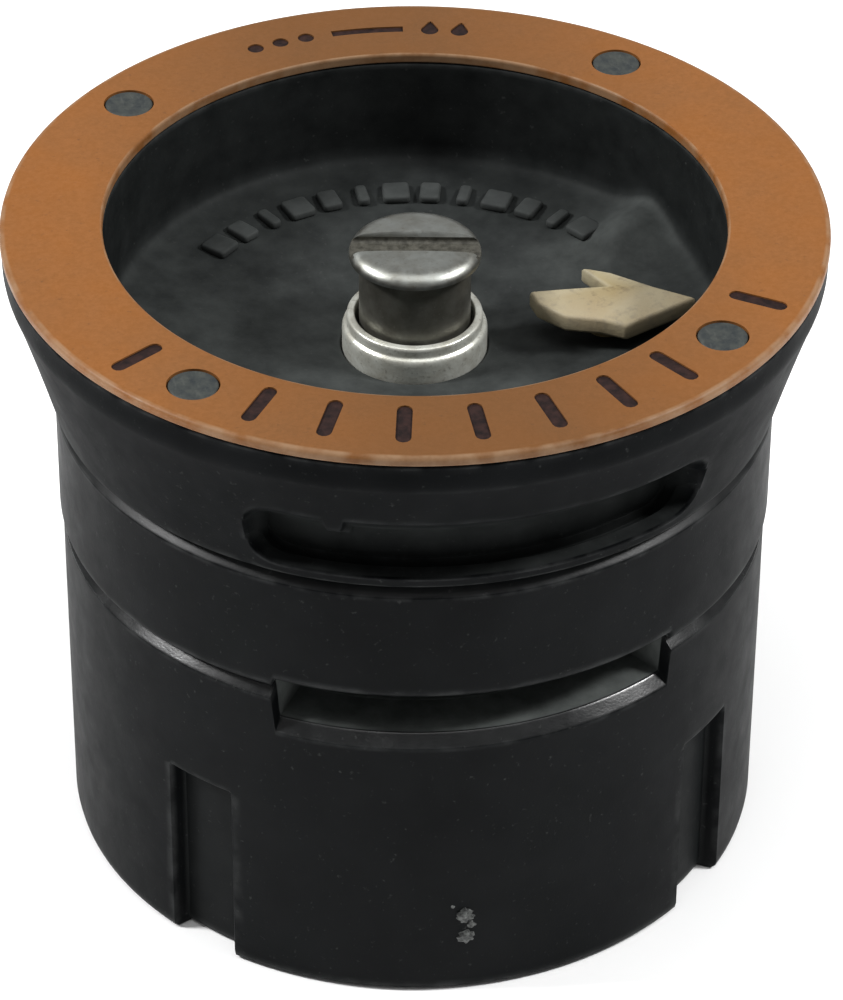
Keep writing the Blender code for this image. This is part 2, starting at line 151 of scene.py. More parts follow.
# Bowl marks and pointer
BOWL_MARK_R = 6.9 * MM
BOWL_MARK_COUNT = 13
BOWL_MARK_ARC = (125.0, 225.0)
BOWL_MARK_WIDTHS = (0.8 * MM, 0.35 * MM, 0.6 * MM)
BOWL_MARK_LENGTH = 0.85 * MM
BOWL_MARK_ROUND = 0.12 * MM
POINTER_BEARING = 83.0
POINTER_THICKNESS = 0.55 * MM
POINTER_FOOT_R = 5.5 * MM
POINTER_FOOT_BEARING = 84.0
POINTER_OUTLINE = (
    (3.22, 0.32), (4.40, 0.44), (5.45, 0.52), (4.75, 1.50), (5.60, 1.20), (6.80, 0.42),
    (7.95, -0.20), (7.05, -0.75), (5.85, -1.52), (5.15, -1.18), (4.15, -0.98), (3.42, -0.32),
)


# ---------------------------------------------------------------- mesh code

def on_bearing(radius, bearing, height):
    """Point at a radius and a bearing from -Y."""
    angle = math.radians(bearing)
    return (radius * math.sin(angle), -radius * math.cos(angle), height)


def ease(share):
    """Smooth step of a share clamped to 0..1."""
    share = min(1.0, max(0.0, share))
    return share * share * (3 - 2 * share)


def band(bearing, start, end, soft):
    """1 between two bearings, easing to 0 across a soft border centred on each."""
    return ease((bearing - start) / soft + 0.5) * ease((end - bearing) / soft + 0.5)


def bearing_columns(edges, soft=0.6, step=COLUMN_STEP, extra=()):
    """Bearings all the way round, closer together near the given edges, and some extra ones."""
    columns = list(np.arange(-180.0, 180.0, step)) + list(extra)
    for edge in edges:
        columns += [edge + soft * share for share in (-0.6, -0.35, -0.15, 0.0, 0.15, 0.35, 0.6)]
    kept = []
    for bearing in sorted((c + 180) % 360 - 180 for c in columns):
        if not kept or bearing - kept[-1] > 0.04:
            kept.append(bearing)
    return kept


def rounded(corners, steps=3):
    """Closed (radius, height, fillet) corners as outline points, each fillet turned into a curve.

    A guard point stands close before and after each curve, which keeps the shading of the long faces flat.
    """
    points = []
    count = len(corners)
    for i, (radius, height, fillet) in enumerate(corners):
        here = np.array((radius, height))
        if fillet == 0:
            points.append(here)
            continue
        arms = []
        for neighbour in (corners[i - 1], corners[(i + 1) % count]):
            arm = np.array(neighbour[:2]) - here
            length = np.hypot(*arm)
            share = min(fillet / length, 0.4)
            guard = min(share + GUARD / length, share + 0.08)
            arms.append((here + arm * share, here + arm * guard))
        (start, guard_before), (end, guard_after) = arms
        points.append(guard_before)
        for s in range(steps + 1):
            t = s / steps
            points.append((1 - t) ** 2 * start + 2 * t * (1 - t) * here + t * t * end)
        points.append(guard_after)
    return points


def finish_mesh(name, bm, sharp_angle=38.0):
    """Linked object from a bmesh, with outward normals and smooth shading."""
    bmesh.ops.recalc_face_normals(bm, faces=bm.faces)
    mesh = bpy.data.meshes.new(name)
    bm.to_mesh(mesh)
    bm.free()
    mesh.shade_smooth()
    mesh.set_sharp_from_angle(angle=math.radians(sharp_angle))
    made = bpy.data.objects.new(name, mesh)
    bpy.context.scene.collection.objects.link(made)
    return made


def skin(bm, columns):
    """Quads round the axis between closed outlines, each a list of points in space."""
    rows = [[bm.verts.new(p) for p in column] for column in columns]
    size = len(rows[0])
    for left, right in zip(rows, rows[1:] + rows[:1]):
        for k in range(size):
            n = (k + 1) % size
            bm.faces.new((left[k], right[k], right[n], left[n]))


def wrap(name, bearings, outline_at):
    """Shell round Z. outline_at(bearing) gives a closed outline of (radius, height) points."""
    bm = bmesh.new()
    skin(bm, [[on_bearing(r, b, z) for r, z in outline_at(b)] for b in bearings])
    return finish_mesh(name, bm)


def spin_solid(bm, outline, columns, centre=(0.0, 0.0), pitch=None):
    """Turned solid. The outline of (radius, height[, thread depth]) starts and ends on the axis."""
    middle = []
    for point in outline[1:-1]:
        radius, height = point[:2]
        depth = point[2] if len(point) > 2 else 0.0
        ring = []
        for i in range(columns):
            angle = 2 * math.pi * i / columns
            phase = 2 * math.pi * height / pitch - angle if pitch else 0.0
            reach = radius + depth / 2 * math.cos(phase)
            x = centre[0] + reach * math.cos(angle)
            y = centre[1] + reach * math.sin(angle)
            ring.append(bm.verts.new((x, y, height)))
        middle.append(ring)
    for low, high in zip(middle, middle[1:]):
        for i in range(columns):
            j = (i + 1) % columns
            bm.faces.new((low[i], low[j], high[j], high[i]))
    for ring, height in ((middle[0], outline[0][1]), (middle[-1], outline[-1][1])):
        pole = bm.verts.new((centre[0], centre[1], height))
        for i in range(columns):
            bm.faces.new((ring[i], ring[(i + 1) % columns], pole))


def prism(bm, outline, low, high):
    """Upright prism over a closed outline of (x, y) points."""
    feet = [bm.verts.new((x, y, low)) for x, y in outline]
    tops = [bm.verts.new((x, y, high)) for x, y in outline]
    bm.faces.new(feet)
    bm.faces.new(tops)
    for i in range(len(outline)):
        j = (i + 1) % len(outline)
        bm.faces.new((feet[i], feet[j], tops[j], tops[i]))


def cut(target, tool):
    """Subtract a tool for good and remove it."""
    modifier = target.modifiers.new("cut", "BOOLEAN")
    modifier.operation = "DIFFERENCE"
    modifier.solver = "EXACT"
    modifier.object = tool
    settle(target)
    bpy.data.objects.remove(tool)


def settle(target):
    """Apply the modifiers of an object to its mesh, then shade it smooth up to its sharp edges."""
    graph = bpy.context.evaluated_depsgraph_get()
    mesh = bpy.data.meshes.new_from_object(target.evaluated_get(graph))
    target.modifiers.clear()
    target.data = mesh
    mesh.shade_smooth()
    mesh.set_sharp_from_angle(angle=math.radians(50))


def flatten_shading(target):
    """Keep broad faces flat in the shading, with the fillets carrying the turn."""
    modifier = target.modifiers.new("weighted_normal", "WEIGHTED_NORMAL")
    modifier.keep_sharp = True
    modifier.weight = 90


def vertex_table(mesh, name):
    """Places or normals of a mesh's vertices as an array."""
    table = np.empty(len(mesh.vertices) * 3)
    mesh.vertices.foreach_get(name, table)
    return table.reshape(-1, 3)


def store(mesh, name, values):
    """Keep a value from 0 to 1 at each vertex."""
    layer = mesh.attributes.new(name, "FLOAT", "POINT")
    layer.data.foreach_set("value", np.clip(values, 0, 1).astype(np.float32))


def mark_edges(target, tightest=0.25 * MM):
    """Store how tight the convex edges are as the attribute edge, 1 on the tightest."""
    mesh = target.data
    places = vertex_table(mesh, "co")
    normals = vertex_table(mesh, "normal")
    ends = np.empty(len(mesh.edges) * 2, dtype=np.int64)
    mesh.edges.foreach_get("vertices", ends)
    a, b = ends.reshape(-1, 2).T
    step = places[b] - places[a]
    bend = ((normals[b] - normals[a]) * step).sum(1) / np.maximum((step ** 2).sum(1), 1e-14)
    convex = np.zeros(len(places))
    np.maximum.at(convex, a, bend)
    np.maximum.at(convex, b, bend)
    store(mesh, "edge", convex * tightest)


def mark_dust_and_painted_light(target, *recesses):
    """Store dusting and painted light as the attribute dust_and_painted_light.

    Level ground in the bowl is dusted, paler towards the front and darker towards the back, with a painted
    highlight on the ramp. Each recess gives its greatest radius, its foot, its top and the share of
    painted fill light that pales its shaded walls.
    """
    places = vertex_table(target.data, "co")
    normals = vertex_table(target.data, "normal")
    heights = places[:, 2]
    radii = np.hypot(places[:, 0], places[:, 1])
    inside = (radii < BOWL_R + HAIR) & (heights > FLOOR_INNER - HAIR)
    level = np.clip((normals[:, 2] - 0.3) * 2.5, 0, 1)
    # Level ground is paler towards the front and darker towards the back.
    floor = 0.31 - 0.15 * places[:, 1] / BOWL_R - 0.05 * places[:, 0] / BOWL_R
    bearings = np.degrees(np.arctan2(places[:, 0], -places[:, 1]))
    # Painted highlight: a paler patch on the ramp where light catches it.
    ramp_highlight = np.exp(-((bearings - RAMP_BEARING) / 13) ** 2) * np.clip(radii / MM - 4.6, 0, 1)
    dust_and_painted_light = inside * (0.12 + level * (floor - 0.12) + 0.33 * ramp_highlight * level)
    # Painted fill light: the walls of shaded recesses are made paler.
    for reach, low, high, share in recesses:
        recess_fill_light = (radii < reach) & (radii > HUB_R + 2 * MM) & (heights > low) & (heights < high)
        dust_and_painted_light = np.maximum(dust_and_painted_light, recess_fill_light * ~inside * share)
    store(target.data, "dust_and_painted_light", dust_and_painted_light)


def settle_piece(piece, body, slot, surface, *nodes):
    """Give a piece its material and its body, and hide the CAD nodes that it stands for. The slot argument
    is not used.
    """
    piece.data.materials.clear()
    piece.data.materials.append(surface)
    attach(piece, body)
    if nodes:
        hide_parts(*nodes)
    return piece


def burnish_chamfers(piece, surface):
    """Give a second, glossier material to the outer faces that slope outwards and up."""
    piece.data.materials.append(surface)
    for face in piece.data.polygons:
        outside = face.center.xy.length > BASE_R - CHAMFER - HAIR
        if outside and 0.55 < face.normal.z < 0.88:
            face.material_index = 1


# ---------------------------------------------------------------- materials

class Surface:
    """Principled material with short helpers for its node tree."""

    def __init__(self, name, roughness, metallic=0.0, specular=0.5):
        self.material = bpy.data.materials.new(name)
        self.material.use_nodes = True
        self.tree = self.material.node_tree
        self.shader = self.tree.nodes["Principled BSDF"]
        self.shader.inputs["Roughness"].default_value = roughness
        self.shader.inputs["Metallic"].default_value = metallic
        self.shader.inputs["Specular IOR Level"].default_value = specular
        self.place = self.node("ShaderNodeTexCoord").outputs["Object"]

    def node(self, kind, **inputs):
        """New node with some input values or links set by socket name."""
        made = self.tree.nodes.new(kind)
        for socket, value in inputs.items():
            self.feed(made.inputs[socket.replace("_", " ")], value)
        return made

    def feed(self, socket, value):
        """Set a socket's value, or link it when the value is another socket."""
        if isinstance(value, bpy.types.NodeSocket):
            self.tree.links.new(value, socket)
        else:
            socket.default_value = value

    def stretched(self, scale):
        """Object coordinates scaled differently along X, Y and Z."""
        made = self.node("ShaderNodeMapping", Vector=self.place)
        made.inputs["Scale"].default_value = scale
        return made.outputs["Vector"]

    def noise(self, size, detail=2.0, rough=0.5, vector=None):
        """Noise whose features are about size metres across."""
        made = self.node("ShaderNodeTexNoise", Scale=1.0 / size, Detail=detail, Roughness=rough)
        self.feed(made.inputs["Vector"], vector or self.place)
        return made.outputs["Fac"]

    def levels(self, value, low, high, to_low=0.0, to_high=1.0):
        """Map a value from one range to another, clamped."""
        made = self.node("ShaderNodeMapRange", Value=value)
        made.inputs["From Min"].default_value = low
        made.inputs["From Max"].default_value = high
        made.inputs["To Min"].default_value = to_low
        made.inputs["To Max"].default_value = to_high
        return made.outputs["Result"]

    def math(self, operation, first, second):
        """Math node of two values."""
        made = self.node("ShaderNodeMath")
        made.operation = operation
        self.feed(made.inputs[0], first)
        self.feed(made.inputs[1], second)
        return made.outputs["Value"]

    def blend(self, share, first, second):
        """Colour between two colours or colour sockets."""
        made = self.node("ShaderNodeMix")
        made.data_type = "RGBA"
        self.feed(made.inputs[0], share)
        for socket, value in ((made.inputs[6], first), (made.inputs[7], second)):
            self.feed(socket, value if isinstance(value, bpy.types.NodeSocket) else (*value, 1.0))
        return made.outputs[2]

    def stored(self, name):
        """A value stored on the mesh."""
        made = self.node("ShaderNodeAttribute")
        made.attribute_name = name
        return made.outputs["Fac"]

    def bump(self, height, strength, distance, before=None):
        """Bump from a height, stacked on an earlier normal."""
        made = self.node("ShaderNodeBump", Height=height, Strength=strength, Distance=distance)
        if before:
            self.feed(made.inputs["Normal"], before)
        return made.outputs["Normal"]

    def colour(self, value):
        """Feed the base colour."""
        self.feed(self.shader.inputs["Base Color"], value)

    def rough(self, value):
        """Feed the roughness."""
        self.feed(self.shader.inputs["Roughness"], value)

    def normal(self, value):
        """Feed the normal."""
        self.feed(self.shader.inputs["Normal"], value)


def black_plastic(name, specular, satin):
    """Satin black acetal: faint clouding, fine grain, rubbed edges, dusting, and painted light that pales
    shaded recesses and adds a few highlights.
    """
    s = Surface(name, satin, specular=specular)
    cloud = s.levels(s.noise(2.2 * MM, 3.0), 0.3, 0.7)
    body = s.blend(cloud, (0.0022, 0.0027, 0.0030), (0.0042, 0.0049, 0.0053))
    patch = s.levels(s.noise(1.1 * MM, 4.0, 0.65), 0.3, 0.7, 0.55, 1.1)
    # Pale colour from the stored attribute: dusting on level ground, painted fill light in shaded recesses
    # and painted highlights on the ramp and the bowl marks.
    dusted_and_lit = s.blend(s.math("MULTIPLY", s.stored("dust_and_painted_light"), patch), body, (0.100, 0.108, 0.104))
    speck = s.levels(s.noise(0.16 * MM, 2.0, 0.6), 0.66, 0.8, 0.0, 0.5)
    flecked = s.blend(speck, dusted_and_lit, (0.05, 0.052, 0.05))
    worn = s.levels(s.noise(0.7 * MM, 4.0), 0.4, 0.65, 0.0, 0.4)
    rub = s.math("MULTIPLY", s.levels(s.stored("edge"), 0.25, 0.9), worn)
    s.colour(s.blend(rub, flecked, (0.042, 0.044, 0.044)))
    s.rough(s.levels(s.noise(0.9 * MM, 4.0, 0.6), 0.25, 0.75, satin - 0.05, satin + 0.07))
    grain = s.bump(s.noise(0.07 * MM, 3.0, 0.6), 0.25, 0.012 * MM)
    s.normal(s.bump(s.noise(1.6 * MM, 2.0), 0.25, 0.05 * MM, grain))
    return s.material


def torn_plastic():
    """Stress-whitened acetal of the gate scar."""
    s = Surface("torn_plastic", 0.5, specular=0.3)
    torn = s.levels(s.noise(0.16 * MM, 4.0, 0.65), 0.35, 0.65)
    s.colour(s.blend(torn, (0.006, 0.007, 0.007), (0.10, 0.105, 0.10)))
    s.rough(s.levels(s.noise(0.1 * MM, 3.0), 0.3, 0.7, 0.35, 0.6))
    s.normal(s.bump(s.noise(0.09 * MM, 4.0, 0.7), 0.5, 0.03 * MM))
    return s.material


def ring_plastic():
    """Orange-brown ring: soft mottling, fine speckle, darker towards the front and back, and a paler
    rubbed bevel.
    """
    s = Surface("ring_plastic", 0.48, specular=0.16)
    cloud = s.levels(s.noise(2.6 * MM, 3.0, 0.6), 0.3, 0.7)
    body = s.blend(cloud, (0.193, 0.070, 0.0150), (0.168, 0.068, 0.020))
    fleck = s.levels(s.noise(0.13 * MM, 3.0, 0.7), 0.35, 0.68, 0.0, 0.45)
    flecked = s.blend(fleck, body, (0.245, 0.097, 0.031))
    pore = s.levels(s.noise(0.19 * MM, 2.0, 0.6), 0.66, 0.8, 0.0, 0.5)
    pitted = s.blend(pore, flecked, (0.088, 0.040, 0.017))
    split = s.node("ShaderNodeSeparateXYZ", Vector=s.place)
    # Darker towards the front and back.
    aside = s.levels(s.math("ABSOLUTE", split.outputs["X"], 0.0), 2.0 * MM, 9.0 * MM, 0.55, 0.0)
    darker_front_back = s.blend(aside, pitted, (0.068, 0.036, 0.015))
    worn = s.levels(s.noise(0.8 * MM, 4.0), 0.35, 0.6, 0.0, 0.5)
    rub = s.math("MULTIPLY", s.levels(s.stored("edge"), 0.2, 0.8), worn)
    s.colour(s.blend(rub, darker_front_back, (0.27, 0.18, 0.11)))
    s.rough(s.levels(s.noise(0.6 * MM, 4.0, 0.6), 0.25, 0.75, 0.38, 0.56))
    grain = s.bump(s.noise(0.08 * MM, 3.0, 0.6), 0.22, 0.012 * MM)
    s.normal(s.bump(s.noise(1.4 * MM, 2.0), 0.2, 0.04 * MM, grain))
    return s.material


def pin_plastic():
    """Blue-grey pin heads, scuffed on top."""
    s = Surface("pin_plastic", 0.55, specular=0.2)
    cloud = s.levels(s.noise(0.35 * MM, 4.0, 0.65), 0.35, 0.65)
    body = s.blend(cloud, (0.020, 0.024, 0.026), (0.042, 0.046, 0.042))
    streak = s.levels(s.noise(0.12 * MM, 3.0, 0.6, s.stretched((1.0, 0.25, 1.0))), 0.55, 0.75)
    s.colour(s.blend(s.math("MULTIPLY", streak, 0.4), body, (0.078, 0.081, 0.074)))
    s.rough(s.levels(s.noise(0.2 * MM, 3.0), 0.3, 0.7, 0.45, 0.65))
    s.normal(s.bump(s.noise(0.09 * MM, 3.0, 0.6), 0.3, 0.015 * MM))
    return s.material


def ring_print():
    """Dark brown-black stamped marks with uneven ink."""
    s = Surface("ring_print", 0.6, specular=0.15)
    ink = s.levels(s.noise(0.22 * MM, 3.0, 0.6), 0.3, 0.75)
    s.colour(s.blend(ink, (0.007, 0.004, 0.004), (0.028, 0.013, 0.011)))
    s.rough(s.levels(s.noise(0.3 * MM, 2.0), 0.3, 0.7, 0.5, 0.7))
    s.normal(s.bump(s.noise(0.08 * MM, 3.0), 0.35, 0.015 * MM))
    return s.material


def pointer_plastic():
    """Cream pointer with painted shade that makes it darker and yellower, unevenly, towards its front
    side, and soiled patches.
    """
    s = Surface("pointer_plastic", 0.5, specular=0.3)
    split = s.node("ShaderNodeSeparateXYZ", Vector=s.place)
    # Painted shade: the front side is darker and yellower, as it gets less light.
    near_side_shade = s.levels(split.outputs["Y"], -1.9 * MM, 0.6 * MM, 0.75, 0.0)
    shade_patchiness = s.levels(s.noise(1.1 * MM, 3.0, 0.6), 0.3, 0.7, 0.4, 1.3)
    body = s.blend(s.math("MULTIPLY", shade_patchiness, near_side_shade), (0.255, 0.214, 0.122), (0.200, 0.130, 0.045))
    darkening = s.levels(s.noise(0.28 * MM, 4.0, 0.65), 0.5, 0.7, 0.0, 0.6)
    soiled = s.blend(darkening, body, (0.075, 0.048, 0.025))
    s.colour(s.blend(s.levels(s.stored("edge"), 0.3, 1.0, 0.0, 0.4), soiled, (0.37, 0.34, 0.26)))
    s.rough(s.levels(s.noise(0.4 * MM, 3.0), 0.3, 0.7, 0.4, 0.6))
    s.normal(s.bump(s.noise(0.14 * MM, 4.0, 0.65), 0.4, 0.03 * MM))
    return s.material


def stainless():
    """Turned stainless steel: fine rings, soft tarnish and dark spots."""
    s = Surface("stainless", 0.35, metallic=1.0)
    tarnish = s.levels(s.noise(0.8 * MM, 4.0, 0.6), 0.35, 0.7)
    body = s.blend(tarnish, (0.36, 0.375, 0.355), (0.24, 0.235, 0.205))
    spot = s.levels(s.noise(0.11 * MM, 3.0, 0.6), 0.58, 0.75, 0.0, 0.45)
    s.colour(s.blend(spot, body, (0.17, 0.15, 0.12)))
    turning = s.noise(0.035 * MM, 2.0, 0.5, s.stretched((0.12, 0.12, 1.0)))
    s.rough(s.levels(s.noise(0.3 * MM, 4.0, 0.6), 0.25, 0.75, 0.32, 0.48))
    lines = s.bump(turning, 0.22, 0.006 * MM)
    s.normal(s.bump(s.noise(0.5 * MM, 3.0), 0.2, 0.02 * MM, lines))
    return s.material


def shaded_neck_steel():
    """Duller steel of the screw's neck and thread, a copy of the stainless whose darker colour is painted
    shade, marked by turning.
    """
    s = Surface("shaded_neck_steel", 0.45, metallic=0.8)
    tarnish = s.levels(s.noise(0.7 * MM, 4.0, 0.6), 0.3, 0.7)
    body = s.blend(tarnish, (0.20, 0.197, 0.172), (0.115, 0.11, 0.09))
    spot = s.levels(s.noise(0.1 * MM, 3.0, 0.6), 0.6, 0.75, 0.0, 0.5)
    s.colour(s.blend(spot, body, (0.26, 0.25, 0.22)))
    turning = s.noise(0.035 * MM, 2.0, 0.5, s.stretched((0.12, 0.12, 1.0)))
    s.rough(s.levels(s.noise(0.3 * MM, 4.0, 0.6), 0.25, 0.75, 0.34, 0.5))
    s.normal(s.bump(turning, 0.3, 0.008 * MM))
    return s.material


def dark_slot_lining():
    """Dull dark lining on the floor and walls of the screw's slot."""
    s = Surface("dark_slot_lining", 0.6, specular=0.3)
    patch = s.levels(s.noise(0.2 * MM, 4.0, 0.65), 0.35, 0.65)
    s.colour(s.blend(patch, (0.020, 0.019, 0.014), (0.062, 0.059, 0.048)))
    s.rough(s.levels(s.noise(0.15 * MM, 3.0), 0.3, 0.7, 0.5, 0.7))
    s.normal(s.bump(s.noise(0.1 * MM, 4.0, 0.65), 0.4, 0.02 * MM))
    return s.material


def bush_steel():
    """Paler tumbled steel of the bush, dull enough to catch light from above."""
    s = Surface("bush_steel", 0.4, metallic=0.5)
    tarnish = s.levels(s.noise(0.5 * MM, 4.0, 0.6), 0.35, 0.7)
    body = s.blend(tarnish, (0.66, 0.67, 0.61), (0.44, 0.43, 0.37))
    spot = s.levels(s.noise(0.12 * MM, 3.0, 0.6), 0.56, 0.72, 0.0, 0.5)
    s.colour(s.blend(spot, body, (0.15, 0.135, 0.11)))
    s.rough(s.levels(s.noise(0.25 * MM, 4.0, 0.6), 0.25, 0.75, 0.26, 0.46))
    s.normal(s.bump(s.noise(0.12 * MM, 4.0, 0.6), 0.4, 0.02 * MM))
    return s.material


def seat_plastic():
    """Off-white acetal inlet ring with water stains."""
    s = Surface("seat_plastic", 0.5, specular=0.4)
    stain = s.levels(s.noise(0.9 * MM, 4.0, 0.6), 0.45, 0.7)
    s.colour(s.blend(stain, (0.50, 0.49, 0.45), (0.34, 0.30, 0.23)))
    s.rough(s.levels(s.noise(0.5 * MM, 3.0), 0.3, 0.7, 0.4, 0.6))
    s.normal(s.bump(s.noise(0.15 * MM, 3.0), 0.3, 0.02 * MM))
    return s.material


def seal_rubber():
    """Matt black rubber with a dusting of bloom."""
    s = Surface("seal_rubber", 0.7, specular=0.3)
    bloom = s.levels(s.noise(0.25 * MM, 4.0, 0.6), 0.5, 0.75)
    s.colour(s.blend(bloom, (0.012, 0.012, 0.012), (0.05, 0.05, 0.048)))
    s.rough(s.levels(s.noise(0.2 * MM, 2.0), 0.3, 0.7, 0.6, 0.85))
    s.normal(s.bump(s.noise(0.07 * MM, 2.0), 0.3, 0.01 * MM))
    return s.material


def floor_paper():
    """Pale seamless paper with a very faint tooth."""
    s = Surface("floor_paper", 0.9, specular=0.2)
    cloud = s.noise(30 * MM, 2.0)
    s.colour(s.blend(cloud, (0.955, 0.955, 0.955), (0.975, 0.975, 0.975)))
    s.normal(s.bump(s.noise(0.5 * MM, 3.0), 0.05, 0.02 * MM))
    return s.material


# ---------------------------------------------------------------- pieces

def floor_height(radius, bearing):
    """Dished bowl floor with one soft moulded ramp at the back right."""
    share = (radius - BUSH_R) / (FLOOR_EDGE_R - BUSH_R)
    height = FLOOR_INNER + (FLOOR_OUTER - FLOOR_INNER) * share
    across = math.exp(-((bearing - RAMP_BEARING) / RAMP_SPREAD) ** 2)
    return height + RAMP_RISE * across * ease((radius - RAMP_START_R) / RAMP_RUN)


def flare_radius(height):
    """Radius of the cap's flare at a height."""
    share = min(1.0, max(0.0, (height - CAP_FOOT) / (FLANGE_FOOT - CAP_FOOT)))
    return CAP_FOOT_R + (FLANGE_R - CAP_FOOT_R) * (1 - (1 - share) ** FLARE_POWER)


def window_opening(bearing):
    """How open the spray window is at a bearing: depth share, lip height and floor height."""
    start, end = WINDOW_ARC
    inset = min(bearing - start, end - bearing, WINDOW_END_ROUND) / WINDOW_END_ROUND
    depth = ease(min(bearing - start, end - bearing) / 0.6 + 0.5)
    tall = 0.35 + 0.65 * math.sqrt(1 - (1 - max(0.0, inset)) ** 2)
    tooth_start = TOOTH_BEARING - TOOTH_HALF_WIDTH
    lip = WINDOW_LIP - TOOTH_DROP * band(bearing, tooth_start, TOOTH_BEARING + TOOTH_HALF_WIDTH, 0.8)
    middle = (lip + WINDOW_FLOOR) / 2
    half = (lip - WINDOW_FLOOR) / 2 * tall
    return depth, middle + half, middle - half


def window_corners(bearing):
    """Outer corners of the cap between its flange and its foot, from the top down."""
    depth, lip, floor = window_opening(bearing)
    wall_top = floor + 0.4 * (lip - floor)
    slit = WINDOW_WALL_R + 0.05 * MM
    carved = [
        (flare_radius(lip), lip, 0.12 * MM),
        (WINDOW_WALL_R, wall_top, 0.3 * MM),
        (WINDOW_WALL_R, floor, 0.04 * MM),
        (slit, floor, 0.02 * MM),
        (slit, floor - ORIFICE_DEPTH, 0.02 * MM),
        (slit + ORIFICE_WIDTH, floor - ORIFICE_DEPTH, 0.02 * MM),
        (slit + ORIFICE_WIDTH, floor, 0.02 * MM),
        (flare_radius(floor), floor, 0.08 * MM),
    ]
    corners = []
    for i, (radius, height, fillet) in enumerate(carved):
        plain = lip + (floor - lip) * i / (len(carved) - 1)
        radius = flare_radius(plain) * (1 - depth) + radius * depth
        corners.append((radius, plain * (1 - depth) + height * depth, fillet))
    above = [FLANGE_FOOT + (lip - FLANGE_FOOT) * i / 5 for i in range(1, 5)]
    below = [floor + (CAP_FOOT - floor) * i / 3 for i in (1, 2)]
    top = [(flare_radius(z), z, 0) for z in above]
    foot = [(flare_radius(z), z, 0) for z in below]
    return top + corners + foot


def cap_outline(bearing):
    """Section of the deflector cap at a bearing."""
    bore = BUSH_R + HAIR
    floor = []
    for i in range(13):
        radius = bore + 0.15 * MM + (FLOOR_EDGE_R - 0.3 * MM - bore) * i / 12
        floor.append((radius, floor_height(radius, bearing), 0))
    edge = floor_height(BOWL_R, bearing)
    corners = [(bore, HUB_FOOT, 0.05 * MM), (bore, FLOOR_INNER, 0.08 * MM)]
    corners += floor
    corners += [
        (BOWL_R, edge, 0.45 * MM),
        (BOWL_R, FLANGE_TOP, 0.08 * MM),
        (FLANGE_R, FLANGE_TOP, 0.06 * MM),
        (FLANGE_R, FLANGE_FOOT, 0.25 * MM),
    ]
    corners += window_corners(bearing)
    corners += [
        (CAP_FOOT_R, CAP_FOOT, 0.1 * MM),
        (HUB_R, CAP_FOOT, 0.2 * MM),
        (HUB_R, HUB_FOOT, 0.15 * MM),
    ]
    return rounded(corners)


def make_cap(surface):
    """Flared cap: bowl, spray window with deflector face and tooth, and the orifice's shallow mouth."""
    start, end = WINDOW_ARC
    edges = [start, end, TOOTH_BEARING - TOOTH_HALF_WIDTH, TOOTH_BEARING + TOOTH_HALF_WIDTH]
    extra = []
    for share in (0.05, 0.12, 0.2, 0.45):
        extra += [start + WINDOW_END_ROUND * share, end - WINDOW_END_ROUND * share]
    cap = wrap("cap_shell", bearing_columns(edges, soft=0.9, extra=extra), cap_outline)
    mark_edges(cap)
    # Painted fill light pales the shaded inside of the spray window.
    mark_dust_and_painted_light(cap, (CAP_FOOT_R, WINDOW_FLOOR - ORIFICE_DEPTH - HAIR, WINDOW_LIP, 0.17))
    settle_piece(cap, "nozzle", "black_plastic", surface, "deflector_cap")


def body_outline(bearing):
    """Section of the nozzle body at a bearing."""
    open_share = band(bearing, *SLOT_ARC, 0.8)
    foot = LOWER_JOINT + SEAM / 2
    foot += (SLOT_ROOF - foot) * open_share
    top = UPPER_JOINT - SEAM / 2
    hub_bore = HUB_R + 2 * HAIR
    return rounded([
        (CHAMBER_R, foot, 0.05 * MM),
        (BODY_R - 0.12 * MM, foot, 0.05 * MM),
        (BODY_R, foot + 0.16 * MM, 0.1 * MM),
        (BODY_R, top - CHAMFER, 0.04 * MM),
        (BODY_R - CHAMFER, top, 0.04 * MM),
        (hub_bore, top, 0.05 * MM),
        (hub_bore, CHAMBER_ROOF, 0.05 * MM),
        (CHAMBER_R, CHAMBER_ROOF, 0.3 * MM),
    ])


def make_body(surface, burnished):
    """Middle ring between the two joint lines, without the hidden duct."""
    body = wrap("body_ring", bearing_columns(SLOT_ARC, soft=0.8), body_outline)
    mark_edges(body)
    # Painted fill light pales the shaded walls seen through the slot.
    mark_dust_and_painted_light(body, (BODY_R - 0.2 * MM, LOWER_JOINT, CHAMBER_ROOF + MM, 1.0))
    settle_piece(body, "nozzle", "black_plastic", surface, "nozzle_body")
    burnish_chamfers(body, burnished)


def thread_points(bearing):
    """Riser thread down the socket, its crest following a right-hand helix."""
    low, high = THREAD_SPAN
    mean = (THREAD_MAJOR_R + THREAD_MINOR_R) / 2
    depth = THREAD_MAJOR_R - THREAD_MINOR_R
    count = round((high - low) / THREAD_PITCH * THREAD_ROWS)
    points = []
    for i in range(count, -1, -1):
        height = low + (high - low) * i / count
        fade = min(1.0, i / THREAD_ROWS, (count - i) / THREAD_ROWS)
        phase = 2 * math.pi * height / THREAD_PITCH - math.radians(bearing - 90)
        wave = math.tanh(1.6 * math.cos(phase)) / math.tanh(1.6)
        points.append((mean + depth / 2 * wave * fade, height, 0))
    return points


